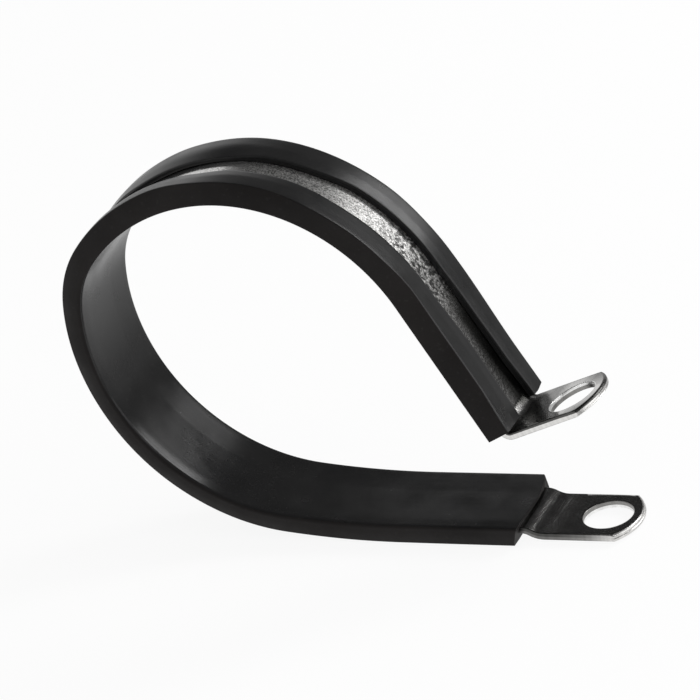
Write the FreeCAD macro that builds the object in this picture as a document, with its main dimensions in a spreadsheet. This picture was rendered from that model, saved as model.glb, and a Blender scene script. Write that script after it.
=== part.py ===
import FreeCAD, Part
import math
import os
import Sketcher
from FreeCAD import Vector

# Rubber lined P clip, lying open: a bent steel band with a bolt hole in each tab,
# and the channel shaped rubber liner that grips both of its edges.
#
# Frame: the origin is the centre of the lower tab's hole on the tab's under face.
# X runs along the lower tab towards its tip, Y across the band, Z up.
# Both pieces follow one loop. It is given as runs along the liner's inner face,
# from the liner's lower end to its upper end, and each of its arcs turns clockwise
# when X points right and Z up.

# Sizes in millimetres, angles in degrees
sizes = {
    "band_width": 15.0,
    "band_thickness": 1.5,
    "liner_base": 1.3,  # rubber between the band and the bundle it holds
    "liner_wall": 2.8,  # rubber past each edge of the band, at the inner face
    "liner_lean": 1.1,  # each side face comes in by this much at the lips
    "liner_corner": 0.4,  # radius of the liner's outer corners
    "lip_thickness": 1.85,
    "lip_reach": 3.65,  # how far each lip covers the band
    "lip_droop": 0.2,  # the lips' free edges lie this much nearer the band
    "fit_gap": 0.05,  # between the band and the rubber all round
    "end_slant": 1.7,  # the lips end this much short of the inner face, lower end
    "lower_leg_length": 24.7,
    "heel_radius": 194.0,
    "heel_angle": 7.5,
    "belly_radius": 38.7,
    "belly_angle": 93.5,
    "nose_radius": 20.8,
    "nose_angle": 30.8,
    "crown_radius": 39.8,
    "crown_angle": 41.0,
    "shoulder_radius": 37.4,
    "shoulder_angle": 73.3,
    "upper_leg_length": 31.9,
    "joggle_drop": 1.3,  # the lower tab lies this much further out than its leg
    "joggle_radius": 4.5,
    "joggle_lap": 0.6,  # the liner's lower end reaches this far over the joggle
    "bend_radius": 0.8,  # inside the upper tab's bend
    "bend_angle": 86.0,
    "bend_clear": 0.1,  # bare band between the liner's upper end and the bend
    "hole_diameter": 10.0,
    "lower_hole_to_liner": 15.0,
    "upper_hole_to_bend": 11.5,
    "hole_to_tip": 7.0,
    "tip_crown": 3.1,  # how far a tab's tip stands out past its corners
}

loop_arcs = ("heel", "belly", "nose", "crown", "shoulder")

# Expressions that more than one feature uses
half_band = "Sizes.band_width / 2"
band_seat = "(Sizes.liner_base + Sizes.fit_gap)"
leg_level = "(Sizes.band_thickness + Sizes.joggle_drop)"
liner_level = f"({leg_level} + {band_seat})"
lip_under = f"({leg_level} - Sizes.band_thickness - Sizes.fit_gap)"
lip_foot = f"({lip_under} - Sizes.lip_thickness)"
joggle_turn = "acos(1 - Sizes.joggle_drop / (2 * Sizes.joggle_radius))"
joggle_run = f"2 * Sizes.joggle_radius * sin({joggle_turn})"
loop_turn = " - ".join(f"Sizes.{name}_angle" for name in loop_arcs)
upper_tab_rise = f"(180 - {loop_turn} + Sizes.bend_angle)"
tip_corner = "(Sizes.hole_to_tip - Sizes.tip_crown)"
tip_radius = f"(({half_band}) ^ 2 / (2 * Sizes.tip_crown) + Sizes.tip_crown / 2)"


def make_sheet(doc):
    """Put every size in a cell of its own, under its own alias."""
    sheet = doc.addObject("Spreadsheet::Sheet", "Sizes")
    for row, (name, value) in enumerate(sizes.items(), 1):
        sheet.set(f"A{row}", name)
        sheet.set(f"B{row}", str(value))
        sheet.setAlias(f"B{row}", name)
    doc.recompute()


def add_body(doc, name):
    """A body whose label is the name of its piece."""
    body = doc.addObject("PartDesign::Body", name)
    body.Label = name
    body.Placement = FreeCAD.Placement()
    return body


def add_sketch(body, name, plane, offset=None):
    """A sketch on one of the body's own origin planes, moved by an expression."""
    sketch = body.newObject("Sketcher::SketchObject", name)
    support = [item for item in body.Origin.OriginFeatures if item.Role == plane]
    sketch.AttachmentSupport = (support[0], "")
    sketch.MapMode = "FlatFace"
    if offset:
        sketch.setExpression("AttachmentOffset", offset)
    sketch.Visibility = False
    body.Document.recompute()
    return sketch


def number(sketch, expression):
    """The present value of an expression, for the start geometry."""
    value = sketch.evalExpression(expression)
    return float(getattr(value, "Value", value))


def relate(sketch, *constraint):
    """Add a constraint that has no size."""
    sketch.addConstraint(Sketcher.Constraint(*constraint))


def bind(sketch, expression, *constraint):
    """Add a constraint that has a size, and tie the size to an expression."""
    value = number(sketch, expression)
    if constraint[0] == "Angle":
        value = math.radians(value)
    index = sketch.addConstraint(Sketcher.Constraint(*constraint, value))
    sketch.setExpression(f"Constraints[{index}]", expression)


def place(sketch, geo, end, spot):
    """Tie a point of the sketch to a pair of expressions."""
    bind(sketch, spot[0], "DistanceX", -1, 1, geo, end)
    bind(sketch, spot[1], "DistanceY", -1, 1, geo, end)


def measure(sketch, geo, end, name):
    """Name the place of a point, so that later expressions can read it."""
    point = sketch.getPoint(geo, end)
    for way, value in (("X", point.x), ("Y", point.y)):
        size = Sketcher.Constraint("Distance" + way, -1, 1, geo, end, value)
        index = sketch.addConstraint(size)
        sketch.setDriving(index, False)
        sketch.renameConstraint(index, name + way)


def add_arc(sketch, centre, start, swing):
    """Draw an arc and return its geometry, its first end and its last end."""
    angle = math.atan2(start.y - centre.y, start.x - centre.x)
    circle = Part.Circle(centre, Vector(0, 0, 1), start.distanceToPoint(centre))
    angles = sorted((angle, angle + swing))
    geo = sketch.addGeometry(Part.ArcOfCircle(circle, *angles))
    return (geo, 1, 2) if swing > 0 else (geo, 2, 1)


def draw_path(sketch, start, steps):
    """Draw a smooth open path that sets off along -X.

    A step is ("run", length), or ("right", radius, turn) or ("left", radius, turn)
    for an arc that bends the path that way. A last word names the arc's end.
    """
    spot = Vector(number(sketch, start[0]), number(sketch, start[1]), 0)
    heading = math.pi
    last = None
    for way, *values in steps:
        ahead = Vector(math.cos(heading), math.sin(heading), 0)
        size = number(sketch, values[0])
        if way == "run":
            line = Part.LineSegment(spot, spot + ahead * size)
            geo, first, final = sketch.addGeometry(line), 1, 2
        else:
            side = 1 if way == "left" else -1
            swing = math.radians(number(sketch, values[1])) * side
            centre = spot + Vector(-ahead.y, ahead.x, 0) * side * size
            geo, first, final = add_arc(sketch, centre, spot, swing)
            heading += swing
        if last:
            relate(sketch, "Tangent", *last, geo, first)
        else:
            place(sketch, geo, first, start)
            relate(sketch, "Horizontal", geo)
        if way == "run":
            bind(sketch, values[0], "Distance", geo)
        else:
            bind(sketch, values[0], "Radius", geo)
            bind(sketch, values[1], "Angle", geo)
        if len(values) > 2:
            measure(sketch, geo, final, values[2])
        last = (geo, final)
        spot = sketch.getPoint(geo, final)


def draw_outline(sketch, corners):
    """Draw a closed outline. A corner is (x, y), or (x, y, radius) if it is round."""
    count = len(corners)
    spots = [Vector(number(sketch, c[0]), number(sketch, c[1]), 0) for c in corners]
    starts, stops = [], []
    for i, corner in enumerate(corners):
        back = (spots[i - 1] - spots[i]).normalize()
        ahead = (spots[(i + 1) % count] - spots[i]).normalize()
        cut = 0
        if len(corner) > 2:
            cut = number(sketch, corner[2]) / math.tan(back.getAngle(ahead) / 2)
        stops.append(spots[i] + back * cut)
        starts.append(spots[i] + ahead * cut)
    sides = zip(starts, stops[1:] + stops[:1])
    lines = [sketch.addGeometry(Part.LineSegment(*side)) for side in sides]
    for i, corner in enumerate(corners):
        before, after = lines[i - 1], lines[i]
        if len(corner) == 2:
            relate(sketch, "Coincident", before, 2, after, 1)
            place(sketch, after, 1, corner)
            continue
        point = sketch.addGeometry(Part.Point(spots[i]), True)
        place(sketch, point, 1, corner)
        relate(sketch, "PointOnObject", point, 1, before)
        relate(sketch, "PointOnObject", point, 1, after)
        round_corner(sketch, (stops[i], spots[i], starts[i]), before, after, corner[2])


def round_corner(sketch, spots, before, after, radius):
    """Join two lines by an arc that is tangent to both."""
    stop, corner, start = spots
    inward = (stop + start - corner * 2).normalize()
    reach = math.hypot(number(sketch, radius), stop.distanceToPoint(corner))
    centre = corner + inward * reach
    swing = (stop - centre).getAngle(start - centre)
    if (stop - centre).cross(start - centre).z < 0:
        swing = -swing
    geo, first, final = add_arc(sketch, centre, stop, swing)
    relate(sketch, "Tangent", before, 2, geo, first)
    relate(sketch, "Tangent", geo, final, after, 1)
    bind(sketch, radius, "Radius", geo)


def sweep_along(body, name, section, path):
    """Sweep a section along a flat path."""
    pipe = body.newObject("PartDesign::AdditivePipe", name)
    pipe.Profile = section
    pipe.Spine = (path, [])
    pipe.Mode = "Standard"
    body.Document.recompute()


def both_sides(half):
    """An outline's corners on the +Y side, and the same corners mirrored."""
    return half + [(f"-({y})", *rest) for y, *rest in reversed(half)]


def liner_corners():
    """The liner's section: its inner face, its sides, and the lips over the band."""
    groove_top = f"{liner_level} - Sizes.liner_base"
    edge = f"{half_band} + Sizes.liner_wall"
    slot = f"{half_band} - Sizes.lip_reach"
    groove = f"{half_band} + Sizes.fit_gap"
    return both_sides([
        (edge, liner_level, "Sizes.liner_corner"),
        (f"{edge} - Sizes.liner_lean", lip_foot, "Sizes.liner_corner"),
        (slot, f"{lip_foot} + Sizes.lip_droop"),
        (slot, lip_under),
        (groove, lip_under),
        (groove, groove_top),
    ])


def cut_both_ways(body, name, sketch, length):
    """Cut away what lies on both sides of a sketch, in all as far as the length."""
    before = body.Tip.Shape.Volume
    pocket = body.newObject("PartDesign::Pocket", name)
    pocket.Profile = sketch
    pocket.Midplane = True
    pocket.setExpression("Length", length)
    body.Document.recompute()
    if pocket.Shape.Volume >= before:
        raise RuntimeError(f"{name} took nothing away")


def slant_lower_end(body):
    """Cut the liner's lower end so that its lips end short of its inner face."""
    sketch = add_sketch(body, "SlantPlan", "XZ_Plane")
    end = "-Sizes.lower_hole_to_liner"
    clear = "Sizes.lip_thickness"
    depth = f"({liner_level} - {lip_foot})"
    draw_outline(sketch, [
        (end, liner_level),
        (f"{end} - Sizes.end_slant * (1 + {clear} / {depth})", f"{lip_foot} - {clear}"),
        (f"{end} + {clear}", f"{lip_foot} - {clear}"),
        (f"{end} + {clear}", liner_level),
    ])
    cut_both_ways(body, "SlantCut", sketch, "2 * Sizes.band_width + 2 * Sizes.liner_wall")


def make_liner(doc):
    """The rubber channel, swept along the loop from its lower to its upper end."""
    body = add_body(doc, "rubber_liner")
    path = add_sketch(body, "LinerPath", "XZ_Plane")
    arcs = [("right", f"Sizes.{n}_radius", f"Sizes.{n}_angle") for n in loop_arcs]
    legs = [("run", f"Sizes.{n}_leg_length") for n in ("lower", "upper")]
    draw_path(path, ("-Sizes.lower_hole_to_liner", liner_level), [legs[0], *arcs, legs[1]])
    to_end = "placement(vector(0; 0; -Sizes.lower_hole_to_liner); rotation(0; 0; 0))"
    section = add_sketch(body, "LinerSection", "YZ_Plane", to_end)
    draw_outline(section, liner_corners())
    sweep_along(body, "LinerSweep", section, path)
    slant_lower_end(body)
    return body


def draw_hole(sketch):
    """The tab's hole, about the sketch's origin."""
    radius = number(sketch, "Sizes.hole_diameter / 2")
    hole = sketch.addGeometry(Part.Circle(Vector(), Vector(0, 0, 1), radius))
    relate(sketch, "Coincident", hole, 3, -1, 1)
    bind(sketch, "Sizes.hole_diameter", "Diameter", hole)


def draw_tip_waste(sketch):
    """The metal to cut away beyond a tab's round tip, as far out as it is thick."""
    centre = Vector(number(sketch, f"Sizes.hole_to_tip - {tip_radius}"), 0, 0)
    corner = Vector(number(sketch, tip_corner), number(sketch, half_band), 0)
    swing = (corner - centre).getAngle(Vector(1, 0, 0)) * 2
    arc, top, bottom = add_arc(sketch, centre, corner, -swing)
    clear = number(sketch, "Sizes.band_thickness")
    far = number(sketch, "Sizes.hole_to_tip") + clear
    rim = [
        corner,
        Vector(corner.x, corner.y + clear, 0),
        Vector(far, corner.y + clear, 0),
        Vector(far, -corner.y - clear, 0),
        Vector(corner.x, -corner.y - clear, 0),
        Vector(corner.x, -corner.y, 0),
    ]
    lines = [sketch.addGeometry(Part.LineSegment(*ends)) for ends in zip(rim, rim[1:])]
    relate(sketch, "Coincident", arc, top, lines[0], 1)
    relate(sketch, "Coincident", arc, bottom, lines[-1], 2)
    for before, after in zip(lines, lines[1:]):
        relate(sketch, "Coincident", before, 2, after, 1)
    for line, way in zip(lines, ("Vertical", "Horizontal") * 3):
        relate(sketch, way, line)
    bind(sketch, tip_radius, "Radius", arc)
    place(sketch, arc, top, (tip_corner, half_band))
    bind(sketch, f"-{half_band}", "DistanceY", -1, 1, arc, bottom)
    bind(sketch, "Sizes.band_thickness", "Distance", lines[0])
    bind(sketch, "Sizes.band_thickness", "Distance", lines[-1])
    bind(sketch, "Sizes.hole_to_tip + Sizes.band_thickness", "DistanceX", -1, 1, lines[2], 1)


def cut_tab(body, name, offset=None):
    """Cut one tab's hole and round its tip, on both sides of the sketch."""
    sketch = add_sketch(body, name + "Plan", "XY_Plane", offset)
    draw_hole(sketch)
    draw_tip_waste(sketch)
    cut_both_ways(body, name + "Cut", sketch, "4 * Sizes.band_thickness")


def band_steps():
    """The band's path on its rubber side: lower tab, loop, bend and upper tab."""
    lower_tab = "Sizes.hole_to_tip + Sizes.lower_hole_to_liner + Sizes.joggle_lap"
    return [
        ("run", f"{lower_tab} - {joggle_run}"),
        ("right", "Sizes.joggle_radius", joggle_turn),
        ("left", "Sizes.joggle_radius", joggle_turn),
        ("run", "Sizes.lower_leg_length - Sizes.joggle_lap"),
        *(("right", f"Sizes.{n}_radius + {band_seat}", f"Sizes.{n}_angle") for n in loop_arcs),
        ("run", "Sizes.upper_leg_length + Sizes.bend_clear"),
        ("left", "Sizes.bend_radius + Sizes.band_thickness", "Sizes.bend_angle", "bend_end"),
        ("run", "Sizes.upper_hole_to_bend + Sizes.hole_to_tip"),
    ]


def make_band(doc):
    """The steel strip, from the lower tab's tip round the loop to the upper tab's."""
    body = add_body(doc, "steel_band")
    path = add_sketch(body, "BandPath", "XZ_Plane")
    draw_path(path, ("Sizes.hole_to_tip", "Sizes.band_thickness"), band_steps())
    to_tip = "placement(vector(0; 0; Sizes.hole_to_tip); rotation(0; 0; 0))"
    section = add_sketch(body, "BandSection", "YZ_Plane", to_tip)
    draw_outline(section, both_sides([(half_band, "0"), (half_band, "Sizes.band_thickness")]))
    sweep_along(body, "BandSweep", section, path)
    cut_tab(body, "LowerTab")
    bend_x, bend_z = (f"BandPath.Constraints.bend_end{way} / 1 mm" for way in "XY")
    hole_x = f"{bend_x} + Sizes.upper_hole_to_bend * cos({upper_tab_rise})"
    hole_z = f"{bend_z} + Sizes.upper_hole_to_bend * sin({upper_tab_rise})"
    turn = f"rotation(vector(0; 1; 0); -{upper_tab_rise})"
    cut_tab(body, "UpperTab", f"placement(vector({hole_x}; 0; {hole_z}); {turn})")
    return body


def check(doc, pieces):
    """Stop if an object of the document failed, or a piece isn't one sound solid."""
    for item in doc.Objects:
        if "Invalid" in item.State or "Error" in item.State:
            raise RuntimeError(f"{item.Name} is {item.State}")
    for piece in pieces:
        shape = piece.Shape
        if shape.isNull() or not shape.isValid() or len(shape.Solids) != 1:
            raise RuntimeError(f"{piece.Label} isn't one sound solid")


def main():
    doc = FreeCAD.newDocument("p_clip")
    make_sheet(doc)
    pieces = [make_band(doc), make_liner(doc)]
    doc.recompute()
    check(doc, pieces)
    os.makedirs("parts", exist_ok=True)
    for piece in pieces:
        piece.Shape.exportStep(f"parts/{piece.Label}.step")
        print(piece.Label, round(piece.Shape.Volume, 2))


main()
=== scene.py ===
import math

import bpy
from mathutils import Matrix, Vector, noise
from mathutils.geometry import tessellate_polygon


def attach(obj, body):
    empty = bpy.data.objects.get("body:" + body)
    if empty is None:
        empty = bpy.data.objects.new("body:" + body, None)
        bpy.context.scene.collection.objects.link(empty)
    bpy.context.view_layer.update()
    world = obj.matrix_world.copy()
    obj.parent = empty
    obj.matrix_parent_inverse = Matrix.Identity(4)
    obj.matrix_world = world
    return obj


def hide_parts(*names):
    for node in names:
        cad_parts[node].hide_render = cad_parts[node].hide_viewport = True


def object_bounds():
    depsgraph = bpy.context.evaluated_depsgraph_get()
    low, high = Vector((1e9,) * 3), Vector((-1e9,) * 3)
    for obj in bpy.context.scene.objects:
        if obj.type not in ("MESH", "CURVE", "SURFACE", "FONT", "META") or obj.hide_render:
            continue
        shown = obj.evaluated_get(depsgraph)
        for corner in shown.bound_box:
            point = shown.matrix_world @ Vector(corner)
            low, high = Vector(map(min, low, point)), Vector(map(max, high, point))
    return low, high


# Rubber lined P clip, lying open. Sizes are in millimetres and angles in degrees, and the
# meshes are scaled to metres as they are made. Only the sizes of the studio are in metres.

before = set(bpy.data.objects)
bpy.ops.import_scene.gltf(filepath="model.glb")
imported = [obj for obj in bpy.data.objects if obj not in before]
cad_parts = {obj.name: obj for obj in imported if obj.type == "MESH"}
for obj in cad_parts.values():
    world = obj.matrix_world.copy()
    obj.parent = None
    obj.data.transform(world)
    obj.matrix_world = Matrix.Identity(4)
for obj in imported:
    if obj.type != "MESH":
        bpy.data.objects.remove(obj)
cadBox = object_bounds()
mm = 0.001

# The loop that both pieces follow, along the liner's inner face from its lower end.
# X runs along the lower tab to its tip, Z is up, and every arc turns clockwise.
loop = {
    "start": (-15.0, 4.15),
    "heading": 180.0,
    "lowerLeg": 24.7,
    "arcs": [(194.0, 7.5), (38.7, 93.5), (20.8, 30.8), (39.8, 41.0), (37.4, 73.3)],  # radius, angle
    "upperLeg": 31.9,
}


# Paths in the XZ plane

def runStep(length):
    return (length, 0.0)


def arcStep(radius, angle):  # a negative radius turns clockwise
    return (math.radians(angle) * abs(radius), 1 / radius)


def layPath(start, heading, steps):
    # each step of the path is (distance along, length, x, z, heading, bend)
    x, z = start
    turn = math.radians(heading)
    path, along = [], 0.0
    for length, bend in steps:
        path.append((along, length, x, z, turn, bend))
        x, z, turn = walk(x, z, turn, bend, length)
        along += length
    return path


def walk(x, z, turn, bend, length):
    if bend == 0:
        return x + length * math.cos(turn), z + length * math.sin(turn), turn
    after = turn + bend * length
    x += (math.sin(after) - math.sin(turn)) / bend
    z -= (math.cos(after) - math.cos(turn)) / bend
    return x, z, after


def pathLength(path):
    return path[-1][0] + path[-1][1]


def pointOn(path, along):
    step = path[0]
    for item in path:
        if along >= item[0]:
            step = item
    return walk(*step[2:], along - step[0])


def placed(path, along, across, out):  # a point of a swept piece, in metres
    x, z, turn = pointOn(path, along)
    return Vector((x - out * math.sin(turn), across, z + out * math.cos(turn))) * mm


def stations(path, longest, sharpest):  # distances along, closer together in tight bends
    found = []
    for along, length, *_, bend in path:
        turned = abs(bend) * length / math.radians(sharpest)
        count = max(1, math.ceil(length / longest), math.ceil(turned))
        found += [along + length * i / count for i in range(count)]
    return found + [pathLength(path)]


# Small helpers

def ease(value):
    value = min(1.0, max(0.0, value))
    return value * value * (3 - 2 * value)


def between(table, at):  # smooth interpolation in a short list of (distance, value)
    if at <= table[0][0]:
        return table[0][1]
    for (a, va), (b, vb) in zip(table, table[1:]):
        if at <= b:
            return va + (vb - va) * ease((at - a) / (b - a))
    return table[-1][1]


# How far the points of a straight are drawn to its ends, between two roundings and in the last one
crowding = {"between": 0.5, "last": 0.3}


def spread(a, b, count, crowded):  # points from a to b, b left out
    out = []
    for i in range(count):
        t = i / count
        t = t - crowded * math.sin(2 * math.pi * t) / (2 * math.pi)
        out.append((a[0] + (b[0] - a[0]) * t, a[1] + (b[1] - a[1]) * t))
    return out


def fillet(corner, before, after, radius, count):  # an arc of count pieces in a corner
    c, a, b = Vector(corner), Vector(before), Vector(after)
    toA, toB = (a - c).normalized(), (b - c).normalized()
    half = toA.angle(toB) / 2
    centre = c + (toA + toB).normalized() * (radius / math.sin(half))
    first = c + toA * (radius / math.tan(half)) - centre
    last = c + toB * (radius / math.tan(half)) - centre
    sweep = math.atan2(first.cross(last), first.dot(last))
    points = []
    for i in range(count + 1):
        turn = sweep * i / count
        points.append((centre.x + first.x * math.cos(turn) - first.y * math.sin(turn),
                       centre.y + first.x * math.sin(turn) + first.y * math.cos(turn)))
    return points


def roundedLine(points, radii, pieces, cuts):
    # points with a rounding of so many pieces at each inner corner, and cuts pieces along each straight
    line, last = [], points[0]
    for i, corner in enumerate(points[1:-1]):
        arc = fillet(corner, points[i], points[i + 2], radii[i], pieces[i])
        line += spread(last, arc[0], cuts[i], crowding["between"]) + arc[:-1]
        last = arc[-1]
    return line + spread(last, points[-1], cuts[-1], crowding["last"])


class Shell:  # the points and faces of one swept piece while it is made
    def __init__(self, path):
        self.path = path
        self.points, self.grain, self.faces, self.surfaces = [], [], [], []

    def point(self, along, across, out, run):  # along and run are also kept, to lay the grain
        self.points.append(placed(self.path, along, across, out))
        self.grain.append((along * mm, run * mm))
        return len(self.points) - 1

    def face(self, corners, surface, flip):
        self.faces.append(corners[::-1] if flip else corners)
        self.surfaces.append(surface)

    def join(self, lines, surface, closed=False, flip=False):
        # quads between neighbouring lines; surface is one name, or a list with one for each column
        for upper, lower in zip(lines, lines[1:]):
            for i in range(len(upper) if closed else len(upper) - 1):
                j = (i + 1) % len(upper)
                named = surface[i] if isinstance(surface, list) else surface
                self.face([upper[i], lower[i], lower[j], upper[j]], named, flip)

    def finish(self, name, materials, sharp):  # materials holds one for each name of a surface
        mesh = bpy.data.meshes.new(name)
        mesh.from_pydata(self.points, [], self.faces)
        for material in materials.values():
            mesh.materials.append(material)
        order = list(materials)
        mesh.polygons.foreach_set("material_index", [order.index(named) for named in self.surfaces])
        mesh.polygons.foreach_set("use_smooth", [True] * len(self.faces))
        layer = mesh.uv_layers.new(name="alongAcross")
        for corner in mesh.loops:
            layer.data[corner.index].uv = self.grain[corner.vertex_index]
        mesh.validate()
        mesh.set_sharp_from_angle(angle=math.radians(sharp))
        mesh.update()
        piece = bpy.data.objects.new(name, mesh)
        bpy.context.scene.collection.objects.link(piece)
        return piece


# Material helpers; tree is the node tree of a material or of the world

white = (1, 1, 1, 1)


def startMaterial(name):
    material = bpy.data.materials.new(name)
    material.use_nodes = True
    tree = material.node_tree
    return material, tree, tree.nodes["Principled BSDF"]


def plug(tree, value, socket):  # value is another node's output, or a constant
    if isinstance(value, bpy.types.NodeSocket):
        tree.links.new(value, socket)
    else:
        socket.default_value = value


def coordinates(tree, *kinds):
    outputs = tree.nodes.new("ShaderNodeTexCoord").outputs
    return [outputs[kind] for kind in kinds]


def noiseNode(tree, source, scale, detail, rough=0.55):
    node = tree.nodes.new("ShaderNodeTexNoise")
    node.inputs["Scale"].default_value = scale
    node.inputs["Detail"].default_value = detail
    node.inputs["Roughness"].default_value = rough
    plug(tree, source, node.inputs["Vector"])
    return node.outputs["Fac"]


def streakNode(tree, source, stretch, detail):  # a noise stretched along or across the piece
    node = tree.nodes.new("ShaderNodeMapping")
    node.inputs["Scale"].default_value = stretch
    plug(tree, source, node.inputs["Vector"])
    return noiseNode(tree, node.outputs["Vector"], 1, detail)


def rampNode(tree, source, stops):
    node = tree.nodes.new("ShaderNodeValToRGB")
    ramp = node.color_ramp
    while len(ramp.elements) < len(stops):
        ramp.elements.new(0.5)
    for element, (place, tone) in zip(ramp.elements, stops):
        element.position = place
        element.color = (*tone, 1) if isinstance(tone, tuple) else (tone, tone, tone, 1)
    plug(tree, source, node.inputs["Fac"])
    return node.outputs["Color"]


def varied(tree, source, low, high):  # from low to high over the usual range of a noise
    return rampNode(tree, source, [(0.3, low), (0.7, high)])


def mixNode(tree, kind, factor, first, second):
    node = tree.nodes.new("ShaderNodeMix")
    node.data_type = "RGBA"
    node.blend_type = kind
    for key, value in ((0, factor), (6, first), (7, second)):  # the sockets that this type uses
        plug(tree, value, node.inputs[key])
    return node.outputs[2]


def mathNode(tree, kind, first, second):
    node = tree.nodes.new("ShaderNodeMath")
    node.operation = kind
    plug(tree, first, node.inputs[0])
    plug(tree, second, node.inputs[1])
    return node.outputs[0]


def shareOf(tree, source, direction):  # how far a place or direction lies towards another
    node = tree.nodes.new("ShaderNodeVectorMath")
    node.operation = "DOT_PRODUCT"
    plug(tree, source, node.inputs[0])
    plug(tree, direction, node.inputs[1])
    return node.outputs["Value"]


def bumpNode(tree, height, strength, depth, previous=None):
    node = tree.nodes.new("ShaderNodeBump")
    node.inputs["Strength"].default_value = strength
    node.inputs["Distance"].default_value = depth
    plug(tree, height, node.inputs["Height"])
    if previous:
        plug(tree, previous, node.inputs["Normal"])
    return node.outputs["Normal"]


# Rubber: noises are (scale, detail, roughness), streaks (stretch, detail) and bumps (strength, metres)
rubberFinish = {
    "skin": {"dark": (0.0110, 0.0110, 0.0113), "pale": (0.0165, 0.0163, 0.0163),
             "roughness": (0.17, 0.28), "specular": 0.27},
    "side": {"dark": (0.0085, 0.0074, 0.0071), "pale": (0.0135, 0.0118, 0.0113),
             "roughness": (0.52, 0.66), "specular": 0.14},  # slightly brown, and darker and duller than the skin: painted shade on the side faces, which are the same rubber
    "lip": {"dark": (0.0110, 0.0110, 0.0113), "pale": (0.0165, 0.0163, 0.0163),
            "roughness": (0.27, 0.36), "specular": 0.40},
    "clouds": (55, 3),  # of tone
    "cloudEnds": (0.35, 0.7),  # places of the dark and the pale tone in that noise
    "specks": (1100, 2, 0.6),
    "dust": (0.034, 0.033, 0.032),
    "dustShare": [(0.60, 0.0), (0.80, 0.35)],
    "patches": (160, 4),  # of roughness
    "drawn": ((12, 900, 1), 2),  # lines along the extrusion
    "drawnBump": (0.08, 0.0001),
    "grain": (2600, 2, 0.7),
    "grainBump": (0.12, 0.00005),
}


def makeRubber(name, dark, pale, roughness, specular):
    f = rubberFinish
    material, tree, shader = startMaterial(name)
    body, strip = coordinates(tree, "Object", "UV")
    tone = rampNode(tree, noiseNode(tree, body, *f["clouds"]), list(zip(f["cloudEnds"], (dark, pale))))
    dusty = rampNode(tree, noiseNode(tree, body, *f["specks"]), f["dustShare"])
    plug(tree, mixNode(tree, "MIX", dusty, tone, (*f["dust"], 1)), shader.inputs["Base Color"])
    rough = varied(tree, noiseNode(tree, body, *f["patches"]), *roughness)
    plug(tree, rough, shader.inputs["Roughness"])
    shader.inputs["Specular IOR Level"].default_value = specular
    drawn = bumpNode(tree, streakNode(tree, strip, *f["drawn"]), *f["drawnBump"])
    grained = bumpNode(tree, noiseNode(tree, body, *f["grain"]), *f["grainBump"], drawn)
    plug(tree, grained, shader.inputs["Normal"])
    return material


# Steel: noises, streaks and bumps are written as for the rubber, and tones are (place in a noise,
# tone). The other tables give a share at distances along the band from the lower tab's tip.
steelFinish = {
    "smooth": (0.07, 0.14),  # roughness of the tabs
    "worn": (0.27, 0.38),  # and of the loop
    "wear": [(14, 0.0), (18, 0.30), (23, 0.30), (25, 0.0), (182, 0.0), (192, 1.0), (231, 1.0),
             (240, 0.4), (252, 0.1), (256, 0.1), (262, 0.9), (271, 0.9), (276, 0.0)],
    "shade": [(258, 1.0), (265, 0.55), (271, 0.5), (273, 1.0)],  # painted shade, darker round the upper bend
    "frost": [(176, 0.0), (186, 0.14), (205, 0.20), (228, 0.18), (240, 0.08), (250, 0.0)],  # dull coating
    "grainy": [(0, 0.20), (176, 0.2), (192, 0.8), (236, 0.8), (258, 0.5), (262, 0.1), (280, 0.1)],
    "scuffed": [(13, 0.0), (17, 1.0), (24, 1.0), (26, 0.0)],  # rubbed across, beside the joggle
    "pitted": [(214, 0.0), (221, 1.0), (233, 1.0), (237, 0.1)],
    # painted shade on the upper tab's tip corners and on the far half of the upper leg: a share along the
    # band and one across it
    "tip": ([(274, 0.0), (279, 1.0)], [(-6.6, 0.7), (-3, 0.0), (1, 0.0), (6.2, 0.95)]),
    "leg": ([(228, 0.0), (240, 1.0), (261, 1.0), (265, 0.0)], [(0.0, 0.0), (1.7, 0.95)]),
    # the tone of that painted shade
    "paintedShadeTone": (0.05, 0.05, 0.046),
    "patches": (420, 5, 0.6),  # of tone
    "patchTones": [(0.32, (0.385, 0.38, 0.372)), (0.66, (0.53, 0.525, 0.515))],
    "flecks": (2700, 2, 0.6),
    "fleckTones": [(0.38, 0.20), (0.62, 1.45)],
    "scuffs": ((1500, 110, 1), 3),
    "scuffTones": [(0.52, 0.9), (0.72, 1.7)],
    "pits": (1250, 1, 0.4),
    "pitTones": [(0.42, 0.22), (0.56, 1.25)],
    "pitBump": (0.3, 0.00008),
    "fine": (1900, 3, 0.65),  # of roughness
    "fineBump": (0.16, 0.00005),
    "drawn": ((40, 2600, 1), 3),  # lines along the strip
    "drawnBump": (0.06, 0.00005),
}
maskReach = 300  # longer than the band, so that a distance over it is a share below one
acrossZero = 40  # the second grain coordinate of the band's middle line


def stripMask(tree, strip, axis, table):  # a share set by the distance along (X) or across (Y)
    shift = 0 if axis == "X" else acrossZero
    split = tree.nodes.new("ShaderNodeSeparateXYZ")
    plug(tree, strip, split.inputs["Vector"])
    scaled = mathNode(tree, "MULTIPLY", split.outputs[axis], 1 / (maskReach * mm))
    return rampNode(tree, scaled, [((at + shift) / maskReach, share) for at, share in table])


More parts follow.
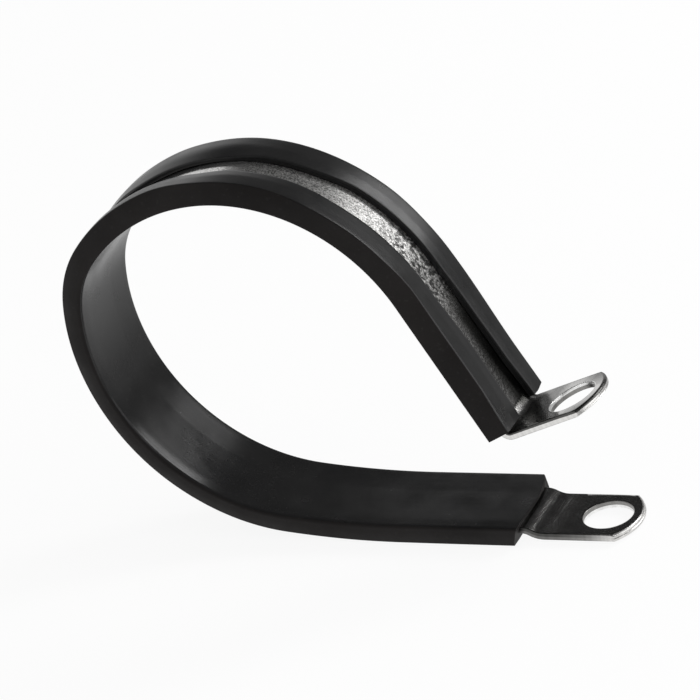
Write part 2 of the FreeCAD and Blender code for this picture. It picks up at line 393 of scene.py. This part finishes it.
def makeSteel():
    f = steelFinish
    material, tree, shader = startMaterial("zincSteel")
    body, strip = coordinates(tree, "Object", "UV")
    layers = {
        "grainy": rampNode(tree, noiseNode(tree, body, *f["flecks"]), f["fleckTones"]),
        "scuffed": rampNode(tree, streakNode(tree, strip, *f["scuffs"]), f["scuffTones"]),
        "pitted": rampNode(tree, noiseNode(tree, body, *f["pits"]), f["pitTones"]),
    }
    tone = rampNode(tree, noiseNode(tree, body, *f["patches"]), f["patchTones"])
    # painted shade round the upper bend
    tone = mixNode(tree, "MULTIPLY", 1.0, tone, stripMask(tree, strip, "X", f["shade"]))
    for key, layer in layers.items():
        layers[key] = mixNode(tree, "MIX", stripMask(tree, strip, "X", f[key]), white, layer)
        tone = mixNode(tree, "MULTIPLY", 1.0, tone, layers[key])
    # painted shade at the upper tab's tip corners and on the far half of the upper leg
    for along, across in (f["tip"], f["leg"]):
        share = mixNode(tree, "MULTIPLY", 1.0, stripMask(tree, strip, "X", along),
                        stripMask(tree, strip, "Y", across))
        tone = mixNode(tree, "MIX", share, tone, (*f["paintedShadeTone"], 1))
    plug(tree, tone, shader.inputs["Base Color"])
    bare = stripMask(tree, strip, "X", [(at, 1 - share) for at, share in f["frost"]])
    plug(tree, bare, shader.inputs["Metallic"])
    fine = noiseNode(tree, body, *f["fine"])
    smooth, worn = (varied(tree, fine, *f[key]) for key in ("smooth", "worn"))
    rough = mixNode(tree, "MIX", stripMask(tree, strip, "X", f["wear"]), smooth, worn)
    plug(tree, rough, shader.inputs["Roughness"])
    lined = bumpNode(tree, streakNode(tree, strip, *f["drawn"]), *f["drawnBump"])
    grained = bumpNode(tree, fine, *f["fineBump"], lined)
    plug(tree, bumpNode(tree, layers["pitted"], *f["pitBump"], grained), shader.inputs["Normal"])
    return material


# Cut steel: the band's sheared edges and the walls of its holes. Its two shade tables give the share of
# the dark tone, which is painted shade, at distances along the band.
cutFinish = {
    "bright": (0.90, 0.89, 0.87),
    # the tone of painted shade on the cut edges
    "dark": (0.13, 0.128, 0.124),
    "shadow": (0.025, 0.025, 0.023),  # painted shadow: the dark tone of the two corners
    "boreCut": (0.98, 0.98, 0.97),  # a hole's wall near the outer side
    "boreTorn": (0.30, 0.295, 0.285),  # and near the rubber side, its torn part, darker with painted shade
    # shares of painted shade along the band: on the cut part and torn corner, then on the rolled corner
    "cutShade": [(3, 0.2), (9, 0.80), (15, 0.93), (200, 0.9), (255, 0.1)],
    "rolledShade": [(3, 0.2), (9, 0.80), (15, 0.93), (200, 1.0), (280, 0.9)],
    "roughness": (0.28, 0.42),
    "streaks": ((1300, 300, 1), 3),
    "streakTones": [(0.3, 0.78), (0.65, 1.0)],
    "streakBump": (0.2, 0.00006),
    "nicks": (1400, 3),
    "nickBump": (0.15, 0.00006),
}


def makeCutSteel(name, bright, shadeTable=None, dark=None):  # the table tells where painted shade makes it dark
    f = cutFinish
    material, tree, shader = startMaterial(name)
    strip, body = coordinates(tree, "UV", "Object")
    streaks = streakNode(tree, strip, *f["streaks"])
    tone = (*bright, 1)
    if shadeTable:
        tone = mixNode(tree, "MIX", stripMask(tree, strip, "X", shadeTable), tone, (*dark, 1))
    worn = rampNode(tree, streaks, f["streakTones"])
    plug(tree, mixNode(tree, "MULTIPLY", 1.0, tone, worn), shader.inputs["Base Color"])
    shader.inputs["Metallic"].default_value = 1.0
    plug(tree, varied(tree, streaks, *f["roughness"]), shader.inputs["Roughness"])
    streaked = bumpNode(tree, streaks, *f["streakBump"])
    nicked = bumpNode(tree, noiseNode(tree, body, *f["nicks"]), *f["nickBump"], streaked)
    plug(tree, nicked, shader.inputs["Normal"])
    return material


# Steel band: a strip with two holed tabs, bent along its own path. Out of the loop, height 0 is
# its rubber side and height thickness its outer side.
band = {
    "halfWidth": 7.5,
    "thickness": 1.5,
    "overLiner": 1.35,  # the rubber side lies this far outside the loop
    "lowerTab": 17.942,  # from its tip to the joggle
    "joggle": (4.5, 31.18),  # radius and angle of both its bends
    "lowerLeg": 24.1,
    "upperLeg": 32.0,  # to the upper bend
    "bend": (2.3, 86.0),  # of the upper tab, on the rubber side
    "softBend": 4.2,  # the same radius where the hollow face is softer, away from the edges
    "softFrom": (0.4, 3.2),  # distance in from the edges where that begins, and over which it grows
    "upperTab": 18.5,  # from the upper bend to its tip
    "holeRadius": 5.0,
    "holeToTip": 7.0,
    "holeToCorner": 3.9,
    "cornerRadius": 0.45,
    # the cut edge: how far in the flat of each face begins, and at distances along its rounding on
    # the outer side, the height where its torn part begins, and its rounding on the rubber side
    "edge": 0.24,
    "tipEdge": (8, 14, 0.55),  # grows to this between two points of the outline round the tips
    "rollOver": [(240, 0.24), (262, 0.48), (275, 0.48), (278, 0.55)],
    "tear": [(240, 0.80), (262, 0.40)],
    "foot": [(3, 0.55), (6, 0.22)],
    "turns": (20, 45, 70, 90),
    "ledge": (0.04, 0.05),  # height of the ledge above and below where the torn part begins
    "setBack": (0.05, 0.03),  # the torn part lies this far in, at the ledge and at its rounding
    "boreEdge": (0.10, 0.80, 0.15),  # a hole's own rounding, tear and other rounding
    "boreShare": 0.5,  # and its share of edge
    # the mesh
    "cellReach": 7.0,  # how far it reaches back along the strip from a hole
    "outlinePieces": (10, 4, 12),  # along a side, round a corner and from there to the crown
    "rings": (0.0, 0.10, 0.28, 0.52, 0.78),  # shares of the way from a hole to the outline
    "columns": 24,
    "rowStep": (1.0, 6.5),  # longest piece and sharpest turn between two rows
    "rowGap": 0.3,  # least distance from the tabs' cells to the next row
    "bendRows": (0.25, 8),  # spacing and number of the extra rows before the upper bend
    "sharp": 38,  # edges above this angle aren't smoothed
}


def bandPath(radius):  # radius of the upper bend; a softer bend keeps the planes on both sides
    sharp, angle = band["bend"]
    cut = (radius - sharp) * math.tan(math.radians(angle / 2))
    arcs = [arcStep(-(r + band["overLiner"]), turn) for r, turn in loop["arcs"]]
    joggle, slope = band["joggle"]
    lower = [runStep(band["lowerTab"]), arcStep(-joggle, slope), arcStep(joggle, slope),
             runStep(band["lowerLeg"])]
    upper = [runStep(band["upperLeg"] - cut), arcStep(radius, angle), runStep(band["upperTab"] - cut)]
    return layPath((band["holeToTip"], band["thickness"]), loop["heading"], lower + arcs + upper)


def softened(path, soft, along, across):  # a point of the outer side, towards the softer bend
    place = placed(path, along, across, band["thickness"])
    first, last = soft[-2][0], soft[-1][0]
    if along <= first:
        return place
    gap = pathLength(path) - pathLength(soft)
    also = along - gap
    if along < last + gap:
        also = first + (along - first) * (last - first) / (last + gap - first)
    begins, grows = band["softFrom"]
    share = ease((band["halfWidth"] - begins - abs(across)) / grows)
    return place.lerp(placed(soft, also, across, band["thickness"]), share)


def edgeProfile(roll, tear, foot):
    # (distance out past the flat, height), from the outer side to the rubber side: a corner
    # rolled over by roll, a torn part that begins at the height tear, and a corner rounded by foot
    e, t = band["edge"], band["thickness"]
    above, below = band["ledge"]
    back, footBack = band["setBack"]
    turns = [math.radians(turn) for turn in band["turns"]]
    rolled = [(e * math.sin(turn), t - roll * (1 - math.cos(turn))) for turn in turns]
    rounded = [((e - footBack) * math.sin(turn), foot * (1 - math.cos(turn))) for turn in reversed(turns)]
    return rolled + [(e, tear + above), (e - back, tear - below)] + rounded


def sheared(along):  # the profile of the strip's cut edge
    return edgeProfile(*(between(band[key], along) for key in ("rollOver", "tear", "foot")))


def tabOutline():
    # points and outward normals round a tab, from the strip's near side to its far side,
    # in (towards the tip, across) from the hole's centre
    w, tip, reach, r = (band[key] for key in ("halfWidth", "holeToTip", "cellReach", "cornerRadius"))
    alongSide, roundCorner, toCrown = band["outlinePieces"]
    crown = tip - band["holeToCorner"]
    radius = w * w / (2 * crown) + crown / 2
    centre = Vector((tip - radius, 0.0))
    pivot = centre + Vector((math.sqrt((radius - r) ** 2 - (w - r) ** 2), r - w))
    leave = math.atan2(pivot.y - centre.y, pivot.x - centre.x)
    half = []
    for i in range(alongSide):
        half.append((Vector((-reach + (pivot.x + reach) * i / alongSide, -w)), Vector((0, -1))))
    for i in range(roundCorner + 1):
        turn = -math.pi / 2 + (leave + math.pi / 2) * i / roundCorner
        out = Vector((math.cos(turn), math.sin(turn)))
        half.append((pivot + out * r, out))
    for i in range(1, toCrown):
        turn = leave * (1 - i / toCrown)
        out = Vector((math.cos(turn), math.sin(turn)))
        half.append((centre + out * radius, out))
    middle = [(Vector((tip, 0.0)), Vector((1, 0)))]
    mirrored = [(Vector((p.x, -p.y)), Vector((n.x, -n.y))) for p, n in reversed(half)]
    return half + middle + mirrored


def joinEdge(shell, lines, flip):  # its rolled over corner, its cut part and its torn part
    rolled, torn, last = len(band["turns"]), len(band["turns"]) + 2, len(lines) - 1
    for begin, end, surface in ((0, rolled, "rolled"), (rolled, torn, "cut"), (torn, last, "burred")):
        shell.join(lines[begin:end + 1], surface, flip=flip)


def makeStrip(shell, rows, acrossRow):  # the band between its tabs: both sides and both edges
    flat, t = acrossRow[-1], band["thickness"]
    outer, inner = ([[shell.point(s, y, height, y + acrossZero) for y in acrossRow] for s in rows]
                    for height in (t, 0.0))
    soft = bandPath(band["softBend"])
    for s, row in zip(rows, outer):
        for y, index in zip(acrossRow, row):
            shell.points[index] = softened(shell.path, soft, s, y)
    shell.join(outer, "coated", flip=True)
    shell.join(inner, "coated")
    edges = []
    for sign, column in ((-1, 0), (1, -1)):
        lines = []
        for s in rows:
            spots = [(sign * (flat + d), h) for d, h in sheared(s)]
            lines.append([shell.point(s, y, h, y + acrossZero) for y, h in spots])
        lines = [list(line) for line in zip(*lines)]
        lines = [[row[column] for row in outer]] + lines + [[row[column] for row in inner]]
        joinEdge(shell, lines, sign > 0)
        edges.append(lines)
    return outer, inner, edges


def makeTab(shell, tip, outer, inner, edges, acrossRow):  # tip is 0 for the lower tab, 1 for the upper
    e, t, reach, hole = (band[key] for key in ("edge", "thickness", "cellReach", "holeRadius"))
    narrow = band["boreShare"]
    total, end = pathLength(shell.path), -1 if tip else 0
    outline = tabOutline()
    count = len(outline)
    begins, ends, widest = band["tipEdge"]
    insets = [between([(begins, e), (ends, widest)], min(i, count - 1 - i)) for i in range(count)]
    plan = [p - n * inset for (p, n), inset in zip(outline, insets)]
    plan += [Vector((-reach, y)) for y in reversed(acrossRow[1:-1])]

    def reached(p):
        return total - band["holeToTip"] + p[0] if tip else band["holeToTip"] - p[0]

    def lay(p, height):  # a point of the tab's plan
        return shell.point(reached(p), p[1], height, p[1] + acrossZero)

    def ring(radius, weight, height):  # from a circle round the hole to the plan's own outline
        starts = [q.normalized() * radius for q in plan]
        return [lay(start + (q - start) * weight, height) for start, q in zip(starts, plan)]

    rims, mouths = [], []
    for height, cross in ((t, outer[end]), (0.0, inner[end])):
        rings = [ring(hole + e * narrow, weight, height) for weight in band["rings"]]
        tipRim = [lay(q, height) for q in plan[1:count - 1]]
        rings.append([cross[0]] + tipRim + cross[:0:-1])
        shell.join(rings, "coated", closed=True, flip=(height > 0) != (tip == 1))
        mouths.append(rings[0])
        rims.append(rings[-1][:count])
    bore = [ring(hole + (e - d) * narrow, 0.0, h) for d, h in edgeProfile(*band["boreEdge"])]
    ledge = len(band["turns"])
    shell.join([mouths[0]] + bore[:ledge + 1], "boreCut", closed=True, flip=tip == 1)
    shell.join(bore[ledge:] + [mouths[1]], "boreTorn", closed=True, flip=tip == 1)
    around = []
    for (p, n), inset in list(zip(outline, insets))[1:-1]:
        around.append([lay(p - n * (e - d) * inset / e, h) for d, h in sheared(reached(p))])
    first, last = ([line[end] for line in lines[1:-1]] for lines in edges)
    lines = [list(line) for line in zip(*([first] + around + [last]))]
    joinEdge(shell, [rims[0]] + lines + [rims[1]], tip == 0)


def makeBand():
    shell = Shell(bandPath(band["bend"][0]))
    total, tabEnd = pathLength(shell.path), band["holeToTip"] + band["cellReach"]
    clear = tabEnd + band["rowGap"]
    rows = [s for s in stations(shell.path, *band["rowStep"]) if clear < s < total - clear]
    step, count = band["bendRows"]
    bendStart = shell.path[-2][0]
    rows = sorted(rows + [bendStart - step * i for i in range(1, count + 1)])
    flat, columns = band["halfWidth"] - band["edge"], band["columns"]
    acrossRow = [-flat + 2 * flat * i / columns for i in range(columns + 1)]
    outer, inner, edges = makeStrip(shell, [tabEnd] + rows + [total - tabEnd], acrossRow)
    for tip in (0, 1):
        makeTab(shell, tip, outer, inner, edges, acrossRow)
    f = cutFinish
    return shell.finish("steelBand", {
        "coated": makeSteel(),
        "cut": makeCutSteel("shearedSteelEdge", f["bright"], f["cutShade"], f["dark"]),
        "boreCut": makeCutSteel("boreNearTop", f["boreCut"]),
        "boreTorn": makeCutSteel("boreTornOut", f["boreTorn"]),
        "rolled": makeCutSteel("rolledEdge", f["bright"], f["rolledShade"], f["shadow"]),
        "burred": makeCutSteel("burredEdge", f["bright"], f["cutShade"], f["shadow"]),
    }, band["sharp"])


steelBand = makeBand()
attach(steelBand, "root")
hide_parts("steel_band")
print("steel band:", len(steelBand.data.polygons), "faces")


# Rubber liner: a channel section swept round the loop. Near is the side towards the camera,
# heights are measured out of the loop from its inner face, and tables give a value at distances
# along the liner from its lower end.
liner = {
    "topHalf": 10.2,  # half width at the inner face
    "sideSwell": (9.88, 2.5),  # the side faces are a little barrelled
    "wallHeight": 4.70,
    "lipUnder": 2.9,
    "seatHalf": 7.55,
    "base": 1.3,
    "wave": (17, 3.1, 0.08),  # a slow unevenness of the lips: its length, place in the noise and height
    "nearTilt": [(0, 0.13), (116, 0.13), (136, 0.0)],  # height of the inner face at its near edge
    "farTilt": [(0, -0.13)],
    "nearFlat": [(0, 7.6)],  # how far across the level part of the inner face reaches
    "farFlat": [(0, 3.2)],
    # how far across the outer and the free edge of each lip lie
    "nearFoot": [(0, 9.2), (138, 9.0), (146, 8.6), (155, 9.4), (167, 8.95), (181, 9.7), (190, 9.5),
                 (201, 8.6), (222, 8.5), (232, 9.3)],
    "farFoot": [(0, 9.2), (137, 8.2), (147, 8.9), (162, 9.6), (185, 9.4), (194, 9.0), (206, 9.4),
                (222, 9.0), (232, 9.2)],
    "nearLip": [(0, 4.0), (138, 4.6), (154, 4.6), (161, 3.3), (171, 3.2), (182, 3.6), (191, 3.4),
                (203, 3.1), (216, 2.3), (232, 2.5)],
    "farLip": [(0, 4.0), (128, 3.0), (139, 2.1), (150, 2.6), (165, 2.9), (172, 2.9), (182, 3.9),
               (200, 3.8), (208, 4.2), (222, 4.6), (232, 5.2)],
    # height of each lip's free edge
    "nearEdge": [(0, 4.47), (170, 4.47), (182, 4.28), (198, 4.28), (210, 4.45)],
    "farEdge": [(0, 4.47), (130, 4.30), (140, 4.00), (148, 3.85), (156, 3.85), (165, 4.38), (186, 4.28),
                (206, 4.42)],
    # and of its middle, which lies at this share of the way to its outer edge
    "swellAt": 0.45,
    "nearSwell": [(0, 4.735), (170, 4.735), (182, 4.50), (198, 4.50), (210, 4.72)],
    "farSwell": [(0, 4.735), (160, 4.735), (178, 4.58), (196, 4.58), (208, 4.735)],
    # roundings: of the inner face's edge, the lip's outer edge and its free edge
    "nearRound": [(0, 0.6), (48, 0.85), (116, 0.85), (136, 0.40)],
    "farRound": [(0, 0.5)],
    "nearFootRound": [(0, 0.5), (140, 0.45), (156, 0.28), (195, 0.28), (212, 0.75)],
    "farFootRound": [(0, 0.45)],
    "nearLipRound": [(0, 0.50)],
    "farLipRound": [(0, 0.22)],
    "swellRound": 9.0,  # of a lip's middle and of a side face's middle
    "faceRound": 20.0,  # where the inner face begins to tilt
    "slotRounds": (0.15, 0.12, 0.12),
    # the two ends
    "slant": 1.7,  # the lips end this much short of the inner face at the lower end
    "farCorner": [(2.5, 0.0), (6.0, 0.5), (10.2, 1.9)],  # set back at distances across
    "farCornerHeight": 3.3,
    "upperCorner": (0.45, 6, 3.5),  # set back by this, from a distance across and growing over another
    "endReach": (7, 4),  # how far along the lower and the upper end's cut is felt
    # the mesh
    "outerPieces": (4, 5, 7, 5, 9, 3),  # of the roundings, from the free edge to the inner face
    "outerCuts": (2, 3, 3, 3, 3, 5, 6),  # and of the straights
    "slotPieces": (3, 3, 3),
    "slotCuts": (2, 5, 3, 9),
    "rowStep": (0.9, 2.2),  # longest piece and sharpest turn between two rows
    "endRows": [0.15, 0.4],
    "sideFrom": 8,  # side faces begin this far across
    "lipFrom": 4.2,  # and the lips at this height
    "sharp": 32,  # edges above this angle aren't smoothed
}


def linerSection(along):
    # one closed section in (across, out), from the near lip round the inner face and back
    # through the slot
    size = liner
    length, lane, height = size["wave"]
    wave = noise.noise(Vector((along / length, lane, 0))) * height
    under, seat, base, share = (size[key] for key in ("lipUnder", "seatHalf", "base", "swellAt"))
    halves = []
    for sign, side in ((-1, "near"), (1, "far")):
        keys = ("Foot", "Lip", "Edge", "Swell", "Tilt", "Flat", "Round", "FootRound", "LipRound")
        values = [between(size[side + key], along) for key in keys]
        foot, lip, edge, swell, tilt, flat, corner, footRound, lipRound = values
        foot, lip = foot + wave, lip + wave
        middle = (lip, (edge + under) / 2)
        outer = roundedLine(
            [middle, (lip, edge), (lip * (1 - share) + foot * share, swell), (foot, size["wallHeight"]),
             size["sideSwell"], (size["topHalf"], tilt), (flat, 0.0), (0.0, 0.0)],
            (lipRound, size["swellRound"], footRound, size["swellRound"], corner, size["faceRound"]),
            size["outerPieces"], size["outerCuts"])
        slot = roundedLine([middle, (lip, under), (seat, under), (seat, base), (0.0, base)],
                           size["slotRounds"], size["slotPieces"], size["slotCuts"])
        halves.append([[(sign * y, n) for y, n in line] for line in (outer, slot)])
    (nearOuter, nearSlot), (farOuter, farSlot) = halves
    outside = nearOuter + [(0.0, 0.0)] + farOuter[:0:-1]
    return outside + farSlot + [(0.0, base)] + nearSlot[:0:-1]


def endCut(along, across, out, total):  # how far a point near either end is set back
    height = out / liner["wallHeight"]
    lowerReach, upperReach = liner["endReach"]
    depth, begins, grows = liner["upperCorner"]
    below = max(0.0, 1 - out / liner["farCornerHeight"])
    lower = liner["slant"] * height + between(liner["farCorner"], across) * below
    upper = depth * ease((across - begins) / grows) * height
    return (lower * max(0.0, 1 - along / lowerReach) ** 2
            - upper * max(0.0, 1 - (total - along) / upperReach) ** 2)


def makeLiner():
    arcs = [arcStep(-radius, angle) for radius, angle in loop["arcs"]]
    steps = [runStep(loop["lowerLeg"])] + arcs + [runStep(loop["upperLeg"])]
    shell = Shell(layPath(loop["start"], loop["heading"], steps))
    total, extra = pathLength(shell.path), liner["endRows"]
    rows = sorted(set(stations(shell.path, *liner["rowStep"]) + extra + [total - extra[0]]))
    rings = []
    for s in rows:
        section, ring, run = linerSection(s), [], 0.0
        for i, (y, n) in enumerate(section):
            run += math.hypot(y - section[i - 1][0], n - section[i - 1][1]) if i else 0.0
            ring.append(shell.point(s + endCut(s, y, n, total), y, n, run))
        rings.append(ring)
    section = linerSection(rows[0])
    surfaces = []
    for (y, n), (nextY, nextN) in zip(section, section[1:] + section[:1]):
        steep = abs(nextN - n) > abs(nextY - y)
        if steep and abs(y) > liner["sideFrom"]:
            surfaces.append("side")
        else:
            surfaces.append("lip" if n > liner["lipFrom"] else "skin")
    shell.join(rings, surfaces, closed=True, flip=True)
    for ring, s, flip in ((rings[0], rows[0], True), (rings[-1], rows[-1], False)):
        for corners in tessellate_polygon([[Vector((y, n, 0)) for y, n in linerSection(s)]]):
            shell.face([ring[c] for c in corners], "side", flip)
    # the side faces and both ends take the rubber copy with painted shade
    names = {"skin": "rubberSkin", "side": "rubberSide", "lip": "rubberLip"}
    materials = {key: makeRubber(name, **rubberFinish[key]) for key, name in names.items()}
    return shell.finish("rubberLiner", materials, liner["sharp"])


rubberLiner = makeLiner()
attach(rubberLiner, "root")
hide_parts("rubber_liner")
print("rubber liner:", len(rubberLiner.data.polygons), "faces")


# Floor, light and camera; the studio's sizes and distances are in metres
studio = {
    "floorSize": 12.0,
    "floorTone": (0.91, 0.93),
    "floorFleck": (30, 4),
    "floorRoughness": 0.9,
    "floorSpecular": 0.1,
    "behind": (0.62, 0.78, 0.0),  # reflections see the floor dim beyond these distances this way
    "fade": (0.0, 0.13, 0.30),  # where that begins and ends, and the dim tone
    "shadowShare": 0.10,  # how much of the floor's own shading the camera sees
    "ambient": (0.26, 1.00),  # the room's soft light, from its left to its right
    "wall": (0.6, 0.0, 1.0),  # the room is white where this direction's share is low, and dim above
    "wallEdge": (0.085, 0.165),
    "ceilingTone": 0.035,
    "lampsAim": (-0.045, 0, 0.035),
    # name, direction from the clip, direction of its long side, distance and size, radiance
    "lamps": [
        ("keyBox", (0.553, 0.622, 0.553), (-0.707, 0.0, 0.707), 0.9, (0.53, 0.22), 8.2),
        ("rightBox", (0.93, 0.10, 0.36), (0.0, 1.0, 0.0), 1.0, (0.9, 0.7), 1.8),
    ],
}


def rayShares(tree):  # one for what the camera sees, and one for what reflections and glass see
    rays = tree.nodes.new("ShaderNodeLightPath").outputs
    mirrored = mathNode(tree, "MAXIMUM", rays["Is Glossy Ray"], rays["Is Transmission Ray"])
    return rays["Is Camera Ray"], mirrored


def makeFloor():
    half, low = studio["floorSize"] / 2, cadBox[0].z
    mesh = bpy.data.meshes.new("floor")
    mesh.from_pydata([(-half, -half, low), (half, -half, low), (half, half, low), (-half, half, low)],
                     [], [(0, 1, 2, 3)])
    material, tree, shader = startMaterial("paleFloor")
    place = coordinates(tree, "Object")[0]
    tone = varied(tree, noiseNode(tree, place, *studio["floorFleck"]), *studio["floorTone"])
    plug(tree, tone, shader.inputs["Base Color"])
    shader.inputs["Roughness"].default_value = studio["floorRoughness"]
    shader.inputs["Specular IOR Level"].default_value = studio["floorSpecular"]
    begins, ends, dim = studio["fade"]
    faded = rampNode(tree, shareOf(tree, place, studio["behind"]), [(begins, 1.0), (ends, dim)])
    camera, mirrored = rayShares(tree)
    backdrop = tree.nodes.new("ShaderNodeEmission")
    plug(tree, mixNode(tree, "MIX", mirrored, white, faded), backdrop.inputs["Color"])
    seen = mathNode(tree, "MAXIMUM", camera, mirrored)
    mix = tree.nodes.new("ShaderNodeMixShader")
    plug(tree, mathNode(tree, "MULTIPLY", seen, 1 - studio["shadowShare"]), mix.inputs[0])
    plug(tree, shader.outputs[0], mix.inputs[1])
    plug(tree, backdrop.outputs[0], mix.inputs[2])
    plug(tree, mix.outputs[0], tree.nodes["Material Output"].inputs["Surface"])
    mesh.materials.append(material)
    floor = bpy.data.objects.new("floor", mesh)
    bpy.context.scene.collection.objects.link(floor)


def makeWorld():
    # white background for the camera and in reflections near floor level, a dim ceiling above
    world = bpy.data.worlds.new("studio")
    bpy.context.scene.world = world
    world.use_nodes = True
    tree = world.node_tree
    tree.nodes.clear()
    direction = coordinates(tree, "Generated")[0]
    low, high = studio["wallEdge"]
    towards = shareOf(tree, direction, studio["wall"])
    wall = rampNode(tree, towards, [(low, 1.0), (high, studio["ceilingTone"])])
    split = tree.nodes.new("ShaderNodeSeparateXYZ")
    plug(tree, direction, split.inputs["Vector"])
    rightward = tree.nodes.new("ShaderNodeMapRange")
    rightward.inputs["From Min"].default_value = -1.0
    plug(tree, split.outputs["X"], rightward.inputs["Value"])
    left, right = ((tone, tone, tone, 1) for tone in studio["ambient"])
    camera, mirrored = rayShares(tree)
    tone = mixNode(tree, "MIX", rightward.outputs["Result"], left, right)
    tone = mixNode(tree, "MIX", mirrored, tone, wall)
    tone = mixNode(tree, "MIX", camera, tone, white)
    background = tree.nodes.new("ShaderNodeBackground")
    plug(tree, tone, background.inputs["Color"])
    output = tree.nodes.new("ShaderNodeOutputWorld")
    plug(tree, background.outputs[0], output.inputs["Surface"])


def setUp(name, data, right, up, back, place):  # a lamp or camera that looks away from back
    holder = bpy.data.objects.new(name, data)
    turned = Matrix((right, up, back)).transposed()
    holder.matrix_world = Matrix.Translation(place) @ turned.to_4x4()
    bpy.context.scene.collection.objects.link(holder)
    return holder


def makeLamps():
    for name, direction, along, distance, size, radiance in studio["lamps"]:
        lamp = bpy.data.lights.new(name, "AREA")
        lamp.shape = "RECTANGLE"
        lamp.size, lamp.size_y = size
        lamp.energy = radiance * math.pi * size[0] * size[1]
        back = Vector(direction).normalized()
        wide = (Vector(along) - back * back.dot(Vector(along))).normalized()
        setUp(name, lamp, wide, back.cross(wide), back, Vector(studio["lampsAim"]) + back * distance)


view = {
    "azimuth": 29.892,
    "elevation": 26.543,
    "roll": -13.952,
    "distance": 844.59,
    "target": (-46.953, 0.0, 37.63),
    "lens": 224.07,
    "sensor": 36,
    "nearest": 10,  # what lies closer isn't drawn
}


def makeCamera():
    azimuth, elevation, roll = (math.radians(view[key]) for key in ("azimuth", "elevation", "roll"))
    look = Vector((-math.sin(azimuth) * math.cos(elevation), math.cos(azimuth) * math.cos(elevation),
                   -math.sin(elevation)))
    level = Vector((math.cos(azimuth), math.sin(azimuth), 0))
    upright = level.cross(look)
    right = math.cos(roll) * level + math.sin(roll) * upright
    up = -math.sin(roll) * level + math.cos(roll) * upright
    camera = bpy.data.cameras.new("camera")
    camera.sensor_width = view["sensor"]
    camera.lens = view["lens"]
    camera.clip_start = view["nearest"] * mm
    place = (Vector(view["target"]) - look * view["distance"]) * mm
    bpy.context.scene.camera = setUp("camera", camera, right, up, -look, place)


makeFloor()
makeWorld()
makeLamps()
makeCamera()
bpy.context.scene.view_settings.view_transform = "Standard"
print("floor, lamps and camera placed")
